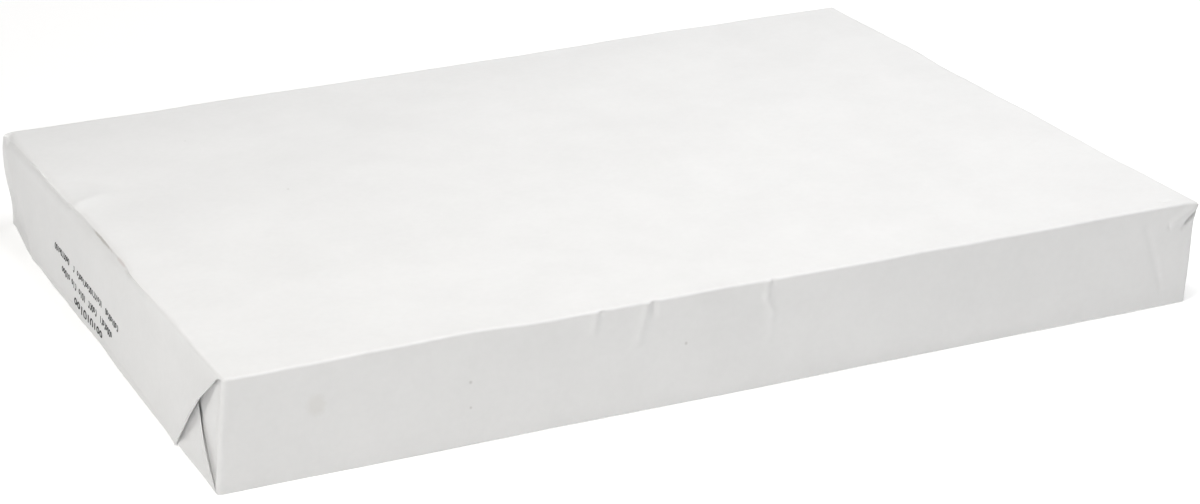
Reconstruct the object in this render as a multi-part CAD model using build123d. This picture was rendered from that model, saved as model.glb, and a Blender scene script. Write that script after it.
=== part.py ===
from build123d import *
import os

# A sealed ream: a squared stack of drawing paper, wrapped tight in one sheet of coated kraft.
# Millimetres. X runs along the long side of the sheets, Y across them and Z up.
# The origin is the middle of the underside.

# The stack: ISO A2 sheets of 190 g/m2 drawing paper.
sheet_length = 594.0
sheet_width = 420.0
sheet_count = 250
sheet_thickness = 0.24

# The wrapper: a tube round the stack, closed by a glued lap along the underside.
wrapper_thickness = 0.2
fold_radius = 1.5        # outside of each crease that goes round an edge of the stack
lap_past_middle = 60.0   # from the middle line to the free edge of the outer underside panel

# The ends: the tube stands out past the stack and is folded in like an envelope.
# The side panels go in first, then the bottom flap, then the top flap, each creased at 45 degrees.
flap_gap = 1.0            # a flap's free edge stops this far short of the opposite edge
bottom_crease_start = 3.0  # from the corner to where the bottom flap's slanting crease begins
top_crease_start = 7.0    # the same for the top flap, whose corner is not pressed right home

# Layers of wrapper that lie over each end of the stack, counted outwards.
side_panel_layers = 1
bottom_flap_layers = side_panel_layers + 2
top_flap_layers = bottom_flap_layers + 2

# One layer goes over the top and each long side, and two lie on each other underneath.
stack_height = sheet_count * sheet_thickness
pack_width = sheet_width + 2 * wrapper_thickness
pack_height = stack_height + 3 * wrapper_thickness
pack_length = sheet_length + 2 * top_flap_layers * wrapper_thickness
half_width = pack_width / 2
flap_reach = pack_height - flap_gap


def wrapped_block(end_layers):
    """The wrapped stack with that many layers of wrapper over each end, and every crease rounded."""
    length = sheet_length + 2 * end_layers * wrapper_thickness
    block = Pos(0, 0, pack_height / 2) * Box(length, pack_width, pack_height)
    return fillet(block.edges(), fold_radius)


def end_flaps(end_layers, crease_start, fold_height, free_edge_height):
    """The same flap at both ends: the block out to its layer, kept inside the flap's outline.

    The outline is a trapezium on its fold, and its sides slant in by as much as they rise or fall.
    """
    fold_half = half_width - crease_start
    free_half = fold_half - flap_reach
    outline = make_face(
        Plane.YZ
        * Polyline(
            (fold_half, fold_height),
            (free_half, free_edge_height),
            (-free_half, free_edge_height),
            (-fold_half, fold_height),
            close=True,
        )
    )
    prism = extrude(outline, amount=pack_length, both=True)
    return wrapped_block(end_layers) & prism


def underside_step():
    """The room beside the lap, where only the inner panel covers the stack."""
    width = half_width - lap_past_middle
    slab = Box(2 * pack_length, 2 * width, 2 * wrapper_thickness)
    return Pos(0, lap_past_middle + width, 0) * slab


wrapped_ream = wrapped_block(side_panel_layers)
wrapped_ream += end_flaps(bottom_flap_layers, bottom_crease_start, 0, flap_reach)
wrapped_ream += end_flaps(top_flap_layers, top_crease_start, pack_height, pack_height - flap_reach)
wrapped_ream -= underside_step()

os.makedirs("parts", exist_ok=True)
export_step(wrapped_ream, "parts/wrapped_ream.step")
print("pack", pack_length, pack_width, pack_height)
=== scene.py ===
import math

import bmesh
import bpy
import numpy as np
from mathutils import Euler, Matrix, Vector


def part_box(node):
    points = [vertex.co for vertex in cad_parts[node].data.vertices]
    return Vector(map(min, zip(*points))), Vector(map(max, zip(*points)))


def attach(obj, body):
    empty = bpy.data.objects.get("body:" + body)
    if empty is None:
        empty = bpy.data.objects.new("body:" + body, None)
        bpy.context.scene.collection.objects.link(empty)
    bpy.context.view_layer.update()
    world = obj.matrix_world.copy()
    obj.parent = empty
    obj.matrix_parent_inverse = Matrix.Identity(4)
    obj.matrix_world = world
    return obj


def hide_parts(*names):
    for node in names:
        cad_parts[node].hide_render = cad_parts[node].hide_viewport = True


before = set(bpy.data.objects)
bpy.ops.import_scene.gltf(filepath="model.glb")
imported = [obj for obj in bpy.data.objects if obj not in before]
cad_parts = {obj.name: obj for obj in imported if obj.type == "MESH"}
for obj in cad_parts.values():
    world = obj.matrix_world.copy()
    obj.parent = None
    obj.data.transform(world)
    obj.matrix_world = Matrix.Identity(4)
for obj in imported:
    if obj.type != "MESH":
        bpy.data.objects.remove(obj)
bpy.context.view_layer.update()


# ---- Wrapper ------------------------------------------------------------------------------------
# One sheet of white kraft paper with a thin plastic film on its outside, wrapped tight round the
# stack. It is a tube glued along a lap underneath. Each end is closed like an envelope: the side
# panels go in first, then the bottom flap goes up, and the top flap comes down over it.

mm = 0.001
box_low, box_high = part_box("wrapped_ream")
half_length = (box_high[0] - box_low[0]) / 2 / mm
half_width = (box_high[1] - box_low[1]) / 2 / mm
height = (box_high[2] - box_low[2]) / mm

edge_radius = 1.5         # folds round the long edges of the stack
side_radius = (2.4, 1.6)  # folds round its upright edges, at the left end and the right
paper = 0.3               # thickness of the paper where a free edge shows it
reach = height - 0.5      # how far each flap comes over the end
lap_edge = 60.0           # the free edge of the outer underside panel
lap_step = 0.2            # how much higher the inner panel lies beside it

# How far from the corner each slanting crease begins, how much it bows on its way in, and how far
# it stands off. The order is left end then right end, and the near corner then the far one.
top_crease_start = np.array([[8.2, 8.0], [8.0, 9.0]])
top_crease_bow = np.array([[0.0, 2.0], [1.0, 2.5]])
top_flap_puff = np.array([[4.5, 1.6], [2.6, 3.2]])
bottom_crease_start = np.array([[3.0, 4.0], [4.0, 5.0]])
bottom_crease_bow = np.array([[1.7, 1.0], [0.5, 1.5]])
bottom_flap_puff = np.array([[2.4, 0.8], [1.4, 1.6]])

# How far out the panels lie over the end, from an eighth of the way along them.
side_level = -1.6    # the side panel's outside, measured out from the end of the CAD box
bottom_level = -1.1  # the bottom flap's
top_level = -0.5     # the top flap's
top_slack = 24.0     # how far from its crease the top flap still stands off
bottom_slack = 10.0  # the same for the bottom flap


def smooth(t):
    """Smoothstep: 0 up to 0, 1 from 1 on, and 3 t squared less 2 t cubed between."""
    t = np.clip(t, 0.0, 1.0)
    return t * t * (3.0 - 2.0 * t)


def pick(pair, end):
    """The left value of a pair where end is -1, and the right one where it is 1."""
    return np.where(end < 0, pair[0], pair[1])


def top_fold_radius(u, end):
    """The radius of the fold from top to flap: tight at the near corner and slack at the far one."""
    left = 1.6 + 4.2 * smooth((u + 0.85) / 1.0) + 3.0 * smooth((u - 0.93) / 0.07)
    right = 1.6 + 1.6 * smooth((u + 0.9) / 1.2)
    return np.where(end < 0, left, right)


def crease_in(start, bow, turn, t):
    """How far in from the corner the edge of a flap is: it goes from the rounded edge to the start
    of the crease as the sheet turns over the end, and then in by as much as the flap goes down."""
    first = edge_radius + (start - edge_radius) * smooth(turn / (math.pi / 2))
    return first + t * (reach - edge_radius) + bow * np.sin(math.pi * t)


def flap_panel(u, along, turn, t, end, radius, start, bow, puff, swell, level, slack):
    """A top or bottom panel as x, y and depth: along the stack, round the end fold with that
    radius, and on over the end. u goes across it from -1, near, to 1, far. The flap stands off by
    puff times swell at its creases, and by less and less with the distance from them."""
    near_in = crease_in(pick(start[:, 0], end), pick(bow[:, 0], end), turn, t)
    far_in = crease_in(pick(start[:, 1], end), pick(bow[:, 1], end), turn, t)
    near_y = near_in - half_width
    far_y = half_width - far_in
    y = near_y + (far_y - near_y) * (u + 1) / 2
    depth = radius * (1 - np.cos(turn)) + t * (reach - radius)
    near_puff = pick(puff[:, 0], end) * np.exp((near_y - y) / slack)
    far_puff = pick(puff[:, 1], end) * np.exp((y - far_y) / slack)
    out = level * smooth(t * 8) + swell * (near_puff + far_puff)
    x = along * (half_length - radius) + end * (radius * np.sin(turn) + out)
    return x, y, depth


def top_panel(u, along, turn, t, end):
    """The top and its two end flaps, as x, y and z. The flap's creases stand off the most from a
    third of its way down to nearly half, and about two thirds less at its free edge."""
    radius = top_fold_radius(u, end)
    swell = smooth(t / 0.34) * (1.0 - 0.65 * smooth((t - 0.45) / 0.55))
    x, y, depth = flap_panel(u, along, turn, t, end, radius, top_crease_start, top_crease_bow,
                             top_flap_puff, swell, top_level, top_slack)
    return np.stack(np.broadcast_arrays(x, y, height - depth), axis=-1)


def bottom_panel(u, step, along, turn, t, end):
    """The underside and its two end flaps, as x, y and z. step lifts the inner panel. The flap's
    creases stand off the most about a sixth of its way up, and not at all above seven tenths."""
    swell = smooth(t / 0.14) * (1.0 - smooth((t - 0.2) / 0.5))
    x, y, depth = flap_panel(u, along, turn, t, end, edge_radius, bottom_crease_start,
                             bottom_crease_bow, bottom_flap_puff, swell, bottom_level, bottom_slack)
    x = x - end * step * smooth(t * 8)
    return np.stack(np.broadcast_arrays(x, y, depth + step * (1 - smooth(t * 8))), axis=-1)


def side_panel(v, side, along, turn, t, end):
    """A long side and the panels that it tucks in at its ends, as x, y and z. v goes up it from 0
    to 1, and side is -1 for the near one and 1 for the far one."""
    radius = pick(side_radius, end)
    y = side * (half_width - radius * (1 - np.cos(turn)) - t * (reach - radius))
    out = side_level * smooth(t * 8)
    x = along * (half_length - radius) + end * (radius * np.sin(turn) + out)
    z = edge_radius + v * (height - 2 * edge_radius)
    return np.stack(np.broadcast_arrays(x, y, z), axis=-1)


def gusset(side_edge, flap_edge, side, upward, tucks, forming, t, end):
    """The columns between a side panel and a flap. Along the stack they are a rounded edge, an
    ellipse from one panel to the other. Over the end they turn into a fold, which is fully formed
    once the flap has run for forming millimetres: from the side panel they go straight in behind
    the flap, and then come out again to its crease. The last three columns lie inside the crease
    by the three tucks, so the fold is undercut and its inside stays in shade."""
    angle = np.linspace(0, math.pi / 2, 7)[1:-1]
    start = side_edge[:, None, :]
    finish = flap_edge[:, None, :]
    share = np.linspace(0, 1, 7)[1:-1][None, :, None]
    corner = np.stack([start[..., 0], finish[..., 1], start[..., 2]], axis=-1)
    arc = corner + (start - corner) * np.cos(angle)[None, :, None]
    arc = arc + (finish - corner) * np.sin(angle)[None, :, None]
    arc[..., 0] = (start + (finish - start) * share)[..., 0]

    # Behind the flap the fold lies 0.2 in front of the side panel, where there is room for it.
    inward = np.array([0.0, -side, upward]) / math.sqrt(2)
    outward = end[:, :, None] * np.array([1.0, 0.0, 0.0])
    gap = np.maximum((finish - start)[..., :1] * end[:, :, None] - 0.2, 0.1)
    behind = finish + tucks[0] * inward - gap * outward
    low_nose = finish + tucks[1] * inward - 0.4 * gap * outward
    high_nose = finish + tucks[2] * inward - 0.2 * gap * outward
    third = start + (behind - start) / 3
    two_thirds = start + (behind - start) * 2 / 3
    fold = np.concatenate([third, two_thirds, behind, low_nose, high_nose], axis=1)
    pressed = smooth(t * reach / forming)[:, :, None]
    return arc * (1 - pressed) + fold * pressed


def across(count, crowding):
    """Places from -1 to 1, closer together at both ends."""
    even = np.linspace(-1, 1, count)
    return (1 - crowding) * even + crowding * np.sin(even * math.pi / 2)


def stations(flap_rows, turn_rows, straight_rows):
    """Rows along the sheet from one flap's free edge to the other's, as columns of along, turn,
    t and end. They are closer together near the folds and where the front is knocked. The first
    row and the last come twice: the outermost of each is drawn in to show the paper's edge."""
    flap = np.linspace(1, 0, flap_rows + 1)[:-1] ** 1.35
    flap = np.concatenate([flap[:1], flap])
    turn = np.linspace(math.pi / 2, 0, turn_rows + 1)[:-1]
    fine = np.linspace(-1, 1, 1200)
    weight = 1 + 2.2 * ((fine < -0.86) + (abs(fine + 0.25) < 0.08) + (abs(fine - 0.05) < 0.035)
                        + (fine > 0.86) + 1.5 * (fine > 0.93))
    run = np.cumsum(weight) - weight[0]
    straight = np.interp(np.linspace(0, run[-1], straight_rows), run, fine)
    ends = np.ones(len(flap) + len(turn))
    none = np.zeros(straight_rows)
    along = np.concatenate([-ends, straight, ends])
    turned = np.full(len(flap), math.pi / 2)
    turns = np.concatenate([turned, turn, none, turn[::-1], turned])
    level = 0 * turn
    ts = np.concatenate([flap, level, none, level, flap[::-1]])
    end = np.where(along < 0, -1.0, 1.0)
    return [value[:, None] for value in (along, turns, ts, end)]


near = -half_width
far = half_width
left = -half_length
right = half_length
into_front = (0, 1, 0)
upward = (0, 0, 1)

# Knocks and creases that the paper has taken: a line from one place to another, its half width,
# how far it pushes the paper, and which way. A line whose two places are the same is a round dent
# or bulge, and a push of less than nothing goes the other way.
knocks = [
    # Creases that run down the front from near its top edge: ridges, three with a pit beside them.
    ((-90, near, 58), (-91, near, 51), 2.0, -0.9, into_front),
    ((-87, near, 59), (-87, near, 59), 1.5, 1.2, into_front),
    ((-60, near, 60), (-64, near, 40), 2.4, -0.8, into_front),
    ((-56.5, near, 59), (-56, near, 54), 1.8, 1.3, into_front),
    ((-34, near, 56), (-25, near, 44), 1.8, -0.4, into_front),
    ((13.5, near, 60), (12.5, near, 52), 1.5, -0.9, into_front),
    ((12.5, near, 52), (17.5, near, 42), 1.8, -1.0, into_front),
    ((16, near, 60), (16, near, 58), 1.5, 1.0, into_front),
    ((17.5, near, 42), (16.5, near, 26), 2.0, -0.4, into_front),

    # The near right corner, crushed: a slanting crease, two pits and the ridges between them, a
    # long faint crease down the front, and the ear of paper pulled out at the top.
    ((right, near, 56), (292, near, 48.6), 1.1, 1.6, into_front),
    ((289.8, near, 46.5), (289.8, near, 46.5), 1.2, 0.9, into_front),
    ((280, near, 48), (280, near, 48), 1.3, 1.0, into_front),
    ((282, near, 50), (293.5, near, 57), 2.0, -1.0, into_front),
    ((287, near, 49.5), (294, near, 54), 1.0, -0.4, into_front),
    ((264, near, 50), (273, near, 29), 1.9, 0.6, into_front),
    ((273, near, 29), (279.5, near, 11), 2.1, 0.5, into_front),
    ((right, near, height - 2), (right, near, height - 2), 6.0, 2.4, (0.9, 0, -0.5)),

    # A ridge and three hollows of the top, and two stretches where its front edge stands high.
    ((278, near + 8, height), (284, near + 8, height), 1.3, -0.6, upward),
    ((-296, 62.5, height), (-278, 73.5, height), 5.0, 1.1, upward),
    ((-281, 104, height), (-262, 84, height), 8.0, -0.7, upward),
    ((133, -201, height), (158, -192, height), 2.5, -0.25, upward),
    ((left, near, height), (left + 30, near, height), 22.0, 1.1, upward),
    ((-222, near, height), (-165, near, height), 26.0, 1.6, upward),

    # The left end: its far bottom corner pushed in from behind, which makes it stand out a little
    # at the end, and the middle of its top fold pressed back.
    ((left, far, 1), (left, far, 1), 6.0, 3.0, (-0.4, -1, 0)),
    ((left, 48, height), (left, -38, height), 8.0, 2.0, (1, 0, 0)),
]
ripples = ((130.0, 0.35), (60.0, 0.14), (30.0, 0.05))  # wavelengths and heights
waves_each = 7         # how many waves of each length
lean_along = 6.9       # how far the top has slipped to the right
lean_across = 4.46     # and to the back
corner_draw = 8.0      # how far the left end's far bottom corner is drawn in
back_drop = -2.0       # the back edge of the top, at its left
back_rise = 4.5        # and how much higher it is at its right
front_crown = 0.9      # the front edge of the top, at its middle
right_draw = 2.5       # how far the right end's far side is drawn in


def settle(points):
    """Moves points of the square pack to where they are on the real, slumped one.

    It adds up: sine waves in random directions; a lean that grows with height; the far bottom
    corner of the left end drawn in; the back edge of the top lifted towards the right; the front
    edge of the top crowned by a cosine; the far side of the right end drawn in; and a bell-shaped
    push across each knock's line. Nothing goes below the floor.
    """
    x, y, z = points[:, 0], points[:, 1], points[:, 2]
    moved = points.copy()
    up = z / height

    random = np.random.default_rng(7)
    for wavelength, amount in ripples:
        waves = random.normal(size=(waves_each, 3, 3))
        waves /= np.linalg.norm(waves, axis=2, keepdims=True)
        phases = random.uniform(0, 2 * math.pi, size=(waves_each, 3))
        for wave, phase in zip(waves, phases):
            sines = np.sin(points @ wave.T * (2 * math.pi / wavelength) + phase)
            moved += sines * amount / math.sqrt(waves_each)

    moved[:, 0] += lean_along * up
    moved[:, 1] += lean_across * up

    # Over the last 45 mm at the left. In the 66 mm beside the far corner the foot goes in by
    # corner_draw, less and less up to 46 mm high, and a band 51 mm high comes out by 0.6. Before
    # that, from y = -120 on, the foot goes in by up to 1.5.
    at_left = smooth((left + 45 - x) / 45)
    at_far = np.clip((y - 144) / 66, 0, 1) ** 1.2
    drawn_in = corner_draw * at_far * (1 - smooth(z / 46))
    drawn_in -= 0.6 * at_far * np.exp(-((z - 51) / 6) ** 2)
    drawn_in += 1.5 * smooth((y + 120) / 220) * (1 - at_far) * (1 - up)
    moved[:, 0] += drawn_in * at_left

    # The long edges of the top, each by the square of the distance from the other and of the
    # height. The back's lift grows over 540 mm, from 60 mm in at the left.
    at_back = np.clip((y - near) / (far - near), 0, 1) ** 2
    lift = back_drop + back_rise * smooth((x - left - 60) / 540)
    moved[:, 2] += at_back * lift * up ** 2
    at_front = np.clip((far - y) / (far - near), 0, 1) ** 2
    moved[:, 2] += front_crown * np.cos(x / half_length * math.pi / 2) * at_front * up ** 2

    # Over the last 48 mm at the right, from y = 90 to the far side.
    moved[:, 0] -= right_draw * smooth((x - right + 48) / 48) * smooth((y - 90) / 110)

    for first, last, half, push, way in knocks:
        first = np.array(first, float)
        line = np.array(last, float) - first
        length = max(line @ line, 1e-9)
        share = np.clip((points - first) @ line / length, 0, 1)
        away = np.linalg.norm(points - first - share[:, None] * line, axis=1)
        moved += (push * np.exp(-(away / half) ** 2))[:, None] * np.array(way)
    moved[:, 2] = np.maximum(moved[:, 2], 0)
    return moved


def mesh_object(name, points, faces, sharp_angle):
    """A smooth-shaded object from points in millimetres, with edges past that angle kept sharp."""
    mesh = bpy.data.meshes.new(name)
    mesh.from_pydata((points * mm).tolist(), [], faces)
    work = bmesh.new()
    work.from_mesh(mesh)
    bmesh.ops.remove_doubles(work, verts=work.verts, dist=1e-6)
    bmesh.ops.recalc_face_normals(work, faces=work.faces)
    work.to_mesh(mesh)
    work.free()
    mesh.shade_smooth()
    mesh.set_sharp_from_angle(angle=math.radians(sharp_angle))
    made = bpy.data.objects.new(name, mesh)
    bpy.context.collection.objects.link(made)
    return made


along, turn, t, end = stations(flap_rows=25, turn_rows=7, straight_rows=204)
row_count = len(along)
edge_draw = np.zeros(row_count)
edge_draw[[0, -1]] = paper

# Columns across each panel, closer together near the long edges. The top has one less than twice
# the underside's, so that the two free edges at an end can be joined, two columns of the top to
# one of the underside.
outer_count = 56
inner_count = 23
top_u = across(2 * (outer_count + inner_count) - 1, 0.78)
lap_u = lap_edge / (half_width - edge_radius)
outer_u = -1 + (1 + lap_u) * (1 - np.cos(np.linspace(0, math.pi / 2, outer_count))) ** 0.9
inner_u = lap_u + (1 - lap_u) * np.sin(np.linspace(0, math.pi / 2, inner_count))
bottom_u = np.concatenate([outer_u, inner_u])
step = np.concatenate([np.zeros(outer_count), np.full(inner_count, lap_step)])
side_v = (across(44, 0.5) + 1) / 2

top = top_panel(top_u[None, :], along, turn, t, end)
bottom = bottom_panel(bottom_u[None, :], step[None, :], along, turn, t, end)
near_side = side_panel(side_v[None, :], -1, along, turn, t, end)
far_side = side_panel(side_v[None, :], 1, along, turn, t, end)

# The top flap's folds are left slack, and the bottom flap's are pressed flatter.
slack_tucks = (4.6, 1.8, -0.1)
slack_forming = 3.5
pressed_tucks = (3.2, 1.2, -0.4)
pressed_forming = 2.2
near_top = gusset(near_side[:, -1], top[:, 0], -1, 1, slack_tucks, slack_forming, t, end)
far_top = gusset(far_side[:, -1], top[:, -1], 1, 1, slack_tucks, slack_forming, t, end)
near_bottom = gusset(near_side[:, 0], bottom[:, 0], -1, -1, pressed_tucks, pressed_forming, t, end)
far_bottom = gusset(far_side[:, 0], bottom[:, -1], 1, -1, pressed_tucks, pressed_forming, t, end)

# The ring of columns goes round the pack from the far edge of the underside.
ring = [bottom[:, ::-1], near_bottom[:, ::-1], near_side, near_top,
        top, far_top[:, ::-1], far_side[:, ::-1], far_bottom]
starts = np.cumsum([0] + [part.shape[1] for part in ring])
grid = np.concatenate(ring, axis=1)
grid[..., 0] -= edge_draw[:, None] * end
column_count = grid.shape[1]

index = np.arange(row_count * column_count).reshape(row_count, column_count)
quads = np.stack([index[:-1], np.roll(index[:-1], -1, axis=1),
                  np.roll(index[1:], -1, axis=1), index[1:]], axis=-1).reshape(-1, 4)
faces = quads.tolist()

# Each end is closed behind its flaps: the top's free edge to the underside's, and a fan over the
# free edges of the folds on either side.
for row in (0, row_count - 1):
    under = index[row, starts[0]:starts[1]][::-1]
    over = index[row, starts[4]:starts[5]]
    faces += np.stack([over[:-2:2], over[1:-1:2], over[2::2], under[1:], under[:-1]], axis=-1).tolist()
    near_rim = index[row, starts[1] - 1:starts[4] + 1]
    far_rim = np.append(index[row, starts[5] - 1:], index[row, 0])[::-1]
    for rim in (near_rim, far_rim):
        faces += np.stack([np.full(len(rim) - 2, rim[0]), rim[1:-1], rim[2:]], axis=-1).tolist()

wrapper = mesh_object("paper_wrapper", settle(grid.reshape(-1, 3)), faces, sharp_angle=80)


def linear(colour):
    """An sRGB hex colour as linear red, green, blue and an alpha of 1."""
    srgb = np.array([int(colour[place:place + 2], 16) for place in (1, 3, 5)]) / 255
    plain = np.where(srgb <= 0.04045, srgb / 12.92, ((srgb + 0.055) / 1.055) ** 2.4)
    return (*plain, 1.0)


def add_node(tree, kind, inputs=(), **settings):
    """A new node with its settings, and its sockets given values or linked from other sockets."""
    made = tree.nodes.new(kind)
    for name, value in settings.items():
        setattr(made, name, value)
    for name, value in dict(inputs).items():
        if isinstance(value, bpy.types.NodeSocket):
            tree.links.new(value, made.inputs[name])
        else:
            made.inputs[name].default_value = value
    return made


def new_material(name):
    """A material with an empty node tree and its output node."""
    material = bpy.data.materials.new(name)
    material.use_nodes = True
    material.node_tree.nodes.clear()
    return material, add_node(material.node_tree, "ShaderNodeOutputMaterial")


def film_coated_kraft():
    """White bleached kraft paper with a thin polyethylene film, pressed on by the roll.

    The pulp under the film gives the eye a faint cloudiness, the film a soft satin gloss, and
    handling a few specks, grey and reddish rubs on the left end's top fold and a round smudge.
    """
    material, output = new_material("film_coated_kraft_paper")
    tree = material.node_tree
    place = add_node(tree, "ShaderNodeTexCoord").outputs["Object"]

    clouds = add_node(tree, "ShaderNodeTexNoise",
                      {"Vector": place, "Scale": 1 / (38 * mm), "Detail": 3.0, "Roughness": 0.55})
    pulp = add_node(tree, "ShaderNodeTexNoise",
                    {"Vector": place, "Scale": 1 / (4 * mm), "Detail": 2.0, "Roughness": 0.6})
    blend = add_node(tree, "ShaderNodeMix", {0: 0.35, 2: clouds.outputs[0], 3: pulp.outputs[0]},
                     data_type="FLOAT")
    shade = add_node(tree, "ShaderNodeMapRange", {"Value": blend.outputs[0], "From Min": 0.35,
                                                  "From Max": 0.65, "To Min": 0.0, "To Max": 1.0})
    colour = add_node(tree, "ShaderNodeMix",
                      {0: shade.outputs[0], 6: linear("#EAEAEA"), 7: linear("#EEEEEE")},
                      data_type="RGBA").outputs[2]

    rub_noise = add_node(tree, "ShaderNodeTexNoise",
                         {"Vector": place, "Scale": 1 / (5 * mm), "Detail": 4.0, "Roughness": 0.7})
    # Rubs and the smudge: centre, half sizes, strength and colour, in millimetres.
    stains = [
        ((-288.4, 11, 58.9), (1.1, 20.0, 1.1), 0.5, "#A09A90"),
        ((-288.4, -26, 58.9), (1.2, 9.0, 1.3), 0.25, "#C2ACA6"),
        ((-289.6, -46, 57.8), (1.5, 10.0, 2.0), 0.2, "#A9A49B"),
        ((-242.5, -207.3, 38.5), (6.0, 6.0, 6.6), 0.1, "#B8AC98"),
    ]
    for centre, size, strength, tint in stains:
        offset = add_node(tree, "ShaderNodeVectorMath",
                          {0: place, 1: tuple(value * mm for value in centre)}, operation="SUBTRACT")
        scaled = add_node(tree, "ShaderNodeVectorMath",
                          {0: offset.outputs[0], 1: tuple(1 / (value * mm) for value in size)},
                          operation="MULTIPLY")
        away = add_node(tree, "ShaderNodeVectorMath", {0: scaled.outputs[0]}, operation="LENGTH")
        ragged = add_node(tree, "ShaderNodeMath", {0: away.outputs["Value"], 1: rub_noise.outputs[0]},
                          operation="ADD")
        mask = add_node(tree, "ShaderNodeMapRange",
                        {"Value": ragged.outputs[0], "From Min": 1.1, "From Max": 1.6,
                         "To Min": strength, "To Max": 0.0})
        colour = add_node(tree, "ShaderNodeMix", {0: mask.outputs[0], 6: colour, 7: linear(tint)},
                          data_type="RGBA").outputs[2]

    # Specks: centre and radius, in millimetres.
    specks = [
        ((-31, -207.7, 34), 0.6), ((-157, -207.6, 35), 0.6), ((-157.6, -208.7, 21), 0.5),
        ((-195, 148, 60.6), 0.6), ((-237, 109, 60.6), 0.6), ((-194, 94, 60.6), 0.5),
        ((-167, 40, 60.6), 0.5), ((-294, 163, 60), 1.2),
    ]
    for centre, radius in specks:
        away = add_node(tree, "ShaderNodeVectorMath",
                        {0: place, 1: tuple(value * mm for value in centre)}, operation="DISTANCE")
        mask = add_node(tree, "ShaderNodeMapRange",
                        {"Value": away.outputs["Value"], "From Min": 0.8 * radius * mm,
                         "From Max": 2.2 * radius * mm, "To Min": 0.28, "To Max": 0.0})
        colour = add_node(tree, "ShaderNodeMix", {0: mask.outputs[0], 6: colour, 7: linear("#77726B")},
                          data_type="RGBA").outputs[2]

    fine_bump = add_node(tree, "ShaderNodeBump", {"Height": pulp.outputs[0], "Strength": 0.25,
                                                  "Distance": 0.05 * mm})
    slow_bump = add_node(tree, "ShaderNodeBump", {"Height": clouds.outputs[0], "Strength": 0.3,
                                                  "Distance": 0.6 * mm,
                                                  "Normal": fine_bump.outputs[0]})
    shader = add_node(tree, "ShaderNodeBsdfPrincipled",
                      {"Base Color": colour, "Roughness": 0.52, "IOR": 1.5,
                       "Normal": slow_bump.outputs[0]})
    tree.links.new(shader.outputs[0], output.inputs["Surface"])
    return material


wrapper.data.materials.append(film_coated_kraft())
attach(wrapper, "root")
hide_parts("wrapped_ream")


# ---- End print ----------------------------------------------------------------------------------
# Three lines of small black marks on the left flap, printed on the roll before wrapping, so they
# stand upside down on the folded flap. They are plain bars, rings and hooks, not letters.

ink_top = 0.12    # how far the ink's outer face stands off the paper
ink_under = 0.03  # and its inner face
stroke = 0.17     # width of the strokes, in a cell that is 0.6 wide and 1 high
cell = 0.66       # width of a cell and the space after it
line_slope = math.tan(math.radians(2.0))

# Each line: its words from far to near, the height of its middle where it begins, the height of
# its marks and the distance from one to the next.
print_lines = [
    ([(93, 63), (56, 54), (48, -2), (-9, -34)], 27.0, 4.0, 2.9),
    ([(79, 64), (59, 49), (44, 31), (26, 8), (3, -24)], 17.2, 4.4, 3.3),
    ([(53, 0)], 7.2, 5.6, 6.2),
]


def on_left_flap(y, z):
    """Points of the left top flap at those y and z. Its two parameters depend on each other, so
    they are worked out in turn until they settle."""
    end = np.full(y.shape, -1.0)
    turned = np.full(y.shape, math.pi / 2)
    u = y / half_width
    for repeat in range(4):
        radius = top_fold_radius(u, end)
        t = (height - z - radius) / (reach - radius)
        near_y = crease_in(top_crease_start[0, 0], top_crease_bow[0, 0], turned, t) - half_width
        far_y = half_width - crease_in(top_crease_start[0, 1], top_crease_bow[0, 1], turned, t)
        u = 2 * (y - near_y) / (far_y - near_y) - 1
    return top_panel(u, end, turned, t, end)


def mark_path(kind):
    """The middle line of one mark in its cell. A ring's last point isn't its first one again."""
    if kind == "ring":
        angle = np.linspace(0, 2 * math.pi, 17)[:-1]
        return np.stack([0.3 + 0.24 * np.cos(angle), 0.5 + 0.42 * np.sin(angle)], axis=-1)
    if kind == "hook":
        angle = np.linspace(-0.5 * math.pi, 0.8 * math.pi, 12)
        return np.stack([0.3 + 0.22 * np.cos(angle), 0.5 + 0.42 * np.sin(angle)], axis=-1)
    if kind == "low_ring":
        angle = np.linspace(0, 2 * math.pi, 15)[:-1]
        return np.stack([0.3 + 0.22 * np.cos(angle), 0.36 + 0.28 * np.sin(angle)], axis=-1)
    return np.array([[0.3, 0.06], [0.3, 0.5], [0.3, 0.94]])


def ribbon(path, width, closed):
    """Left and right edges of a flat ribbon along a path, side by side, as points and faces. A
    closed one joins its end to its start."""
    count = len(path)
    if closed:
        run = np.roll(path, -1, axis=0) - np.roll(path, 1, axis=0)
        first = np.arange(count)
    else:
        run = np.gradient(path, axis=0)
        first = np.arange(count - 1)
    run /= np.linalg.norm(run, axis=1, keepdims=True)
    normal = np.stack([-run[:, 1], run[:, 0]], axis=-1)
    points = np.concatenate([path + normal * width / 2, path - normal * width / 2])
    following = (first + 1) % count
    return points, np.stack([first, following, following + count, first + count], axis=-1)


def skin(outer, inner, quads):
    """A closed skin from matching outer and inner points: the faces of each, and a wall along
    every edge that only one face has."""
    count = len(outer)
    edges = np.concatenate([quads[:, [corner, (corner + 1) % 4]] for corner in range(4)])
    backward = edges[:, 1] * count + edges[:, 0]
    free = edges[~np.isin(edges[:, 0] * count + edges[:, 1], backward)]
    walls = np.stack([free[:, 1], free[:, 0], free[:, 0] + count, free[:, 1] + count], axis=-1)
    return np.concatenate([outer, inner]), np.concatenate([quads, quads[:, ::-1] + count, walls])


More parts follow.
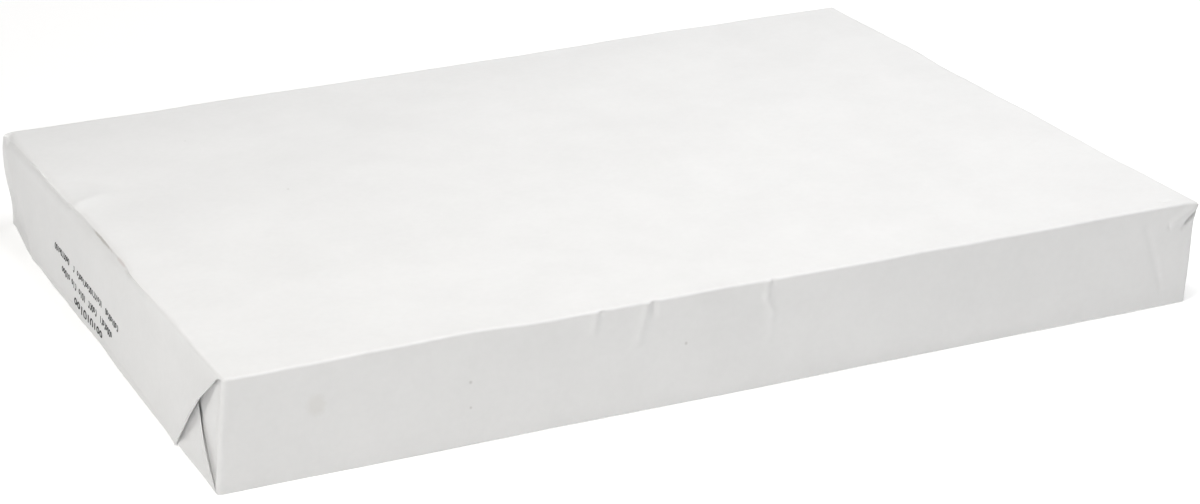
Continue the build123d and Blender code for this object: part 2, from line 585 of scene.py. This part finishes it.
def print_line(words, z, tall, pitch, random):
    """One line of marks, as flat points (y, z) and faces. Each word goes from a far y to a near one,
    and z is the height of the line's middle where its first word begins."""
    points = []
    faces = []
    total = 0
    for far_y, near_y in words:
        for place in np.arange(far_y, near_y + pitch / 2, -pitch):
            kind = random.choice(["ring", "hook", "low_ring", "bar"], p=[0.26, 0.24, 0.26, 0.24])
            marks, quads = ribbon(mark_path(kind), stroke, kind in ("ring", "low_ring"))
            across_y = place - marks[:, 0] * pitch / cell
            up_z = z - (marks[:, 1] - 0.5) * tall + (across_y - words[0][0]) * line_slope
            points.append(np.stack([across_y, up_z], axis=-1))
            faces.append(quads + total)
            total += len(marks)
    return np.concatenate(points), np.concatenate(faces)


random = np.random.default_rng(3)
print_points = []
print_faces = []
print_total = 0
for words, z, tall, pitch in print_lines:
    points, quads = print_line(words, z, tall, pitch, random)
    print_points.append(points)
    print_faces.append(quads + print_total)
    print_total += len(points)
flat = np.concatenate(print_points)
on_paper = on_left_flap(flat[:, 0], flat[:, 1])
points, faces = skin(on_paper - np.array([ink_top, 0, 0]), on_paper - np.array([ink_under, 0, 0]),
                     np.concatenate(print_faces))
end_print = mesh_object("end_print", settle(points), faces.tolist(), sharp_angle=60)


def matt_ink():
    """Black flexographic ink, rolled on and dried: matt, and a little uneven in its blackness."""
    material, output = new_material("matt_black_ink")
    tree = material.node_tree
    place = add_node(tree, "ShaderNodeTexCoord").outputs["Object"]
    patches = add_node(tree, "ShaderNodeTexNoise",
                       {"Vector": place, "Scale": 1 / (2 * mm), "Detail": 2.0})
    colour = add_node(tree, "ShaderNodeMix",
                      {0: patches.outputs[0], 6: linear("#1B1B1D"), 7: linear("#3C3C3E")},
                      data_type="RGBA")
    shader = add_node(tree, "ShaderNodeBsdfPrincipled",
                      {"Base Color": colour.outputs[2], "Roughness": 0.7})
    tree.links.new(shader.outputs[0], output.inputs["Surface"])
    return material


end_print.data.materials.append(matt_ink())
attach(end_print, "root")


# ---- Floor --------------------------------------------------------------------------------------
# A wide sheet of white studio paper under the pack. It is matt, and lit from behind so that it
# stays bright: a little under the pack, and more further out, where the lamps don't reach.

floor_half = 12.0
floor_mesh = bpy.data.meshes.new("floor")
floor_mesh.from_pydata([(-floor_half, -floor_half, 0), (floor_half, -floor_half, 0),
                        (floor_half, floor_half, 0), (-floor_half, floor_half, 0)], [], [(0, 1, 2, 3)])
floor = bpy.data.objects.new("floor", floor_mesh)
bpy.context.collection.objects.link(floor)
floor_material, floor_output = new_material("studio_paper")
floor_place = add_node(floor_material.node_tree, "ShaderNodeTexCoord").outputs["Object"]
floor_away = add_node(floor_material.node_tree, "ShaderNodeVectorMath", {0: floor_place},
                      operation="LENGTH")
floor_glow = add_node(floor_material.node_tree, "ShaderNodeMapRange",
                      {"Value": floor_away.outputs["Value"], "From Min": 0.5, "From Max": 1.8,
                       "To Min": 0.27, "To Max": 0.85})
floor_shader = add_node(floor_material.node_tree, "ShaderNodeBsdfPrincipled",
                        {"Base Color": linear("#F2F2F2"), "Roughness": 0.9,
                         "Specular IOR Level": 0.0, "Emission Color": (1, 1, 1, 1),
                         "Emission Strength": floor_glow.outputs[0]})
floor_material.node_tree.links.new(floor_shader.outputs[0], floor_output.inputs["Surface"])
floor.data.materials.append(floor_material)


# ---- Light --------------------------------------------------------------------------------------
# A dim white room, a large soft lamp over the right of the pack, a smaller and slightly warm one
# high off its near left corner, and a faint broad skylight that lights the floor evenly.

world = bpy.data.worlds.new("white_room")
bpy.context.scene.world = world
world.use_nodes = True
world.node_tree.nodes["Background"].inputs["Color"].default_value = (1, 1, 1, 1)
world.node_tree.nodes["Background"].inputs["Strength"].default_value = 0.05
bpy.context.scene.view_settings.view_transform = "Standard"


def soft_lamp(name, size, watts, colour, place, aim):
    """A square lamp of that size and colour at a place, turned to face a point."""
    data = bpy.data.lights.new(name, "AREA")
    data.shape = "SQUARE"
    data.size = size
    data.energy = watts
    data.color = linear(colour)[:3]
    lamp = bpy.data.objects.new(name, data)
    lamp.location = place
    lamp.rotation_euler = (Vector(aim) - Vector(place)).to_track_quat("-Z", "Y").to_euler()
    bpy.context.collection.objects.link(lamp)


soft_lamp("right_lamp", 1.0, 10.1, "#FFFFFF", (0.42, 0.0, 1.1), (0.42, 0.0, 0))
soft_lamp("left_lamp", 0.5, 12.9, "#FFFDF9", (-0.85, -0.52, 1.35), (-0.2, -0.1, 0.03))

sky_data = bpy.data.lights.new("skylight", "SUN")
sky_data.energy = 0.4
sky_data.angle = math.radians(60)
skylight = bpy.data.objects.new("skylight", sky_data)
skylight.rotation_euler = (math.radians(8), math.radians(-12), 0)
bpy.context.collection.objects.link(skylight)


# ---- Camera -------------------------------------------------------------------------------------
# It stands off the near left corner and looks down along the pack.

look_down = 21.835   # degrees below level
look_right = 25.725  # degrees to the right of straight along Y
tip = 0.17           # degrees that it is turned about its own line of sight

camera_data = bpy.data.cameras.new("camera")
camera_data.sensor_width = 36.0
camera_data.lens = 87.55
camera = bpy.data.objects.new("camera", camera_data)
camera.location = (-0.69938, -1.48801, 0.66518)
view_turn = Euler((math.radians(90 - look_down), 0.0, math.radians(-look_right))).to_matrix()
roll = Matrix.Rotation(math.radians(tip), 3, "Z")
camera.rotation_euler = (view_turn @ roll).to_euler()
bpy.context.collection.objects.link(camera)
bpy.context.scene.camera = camera
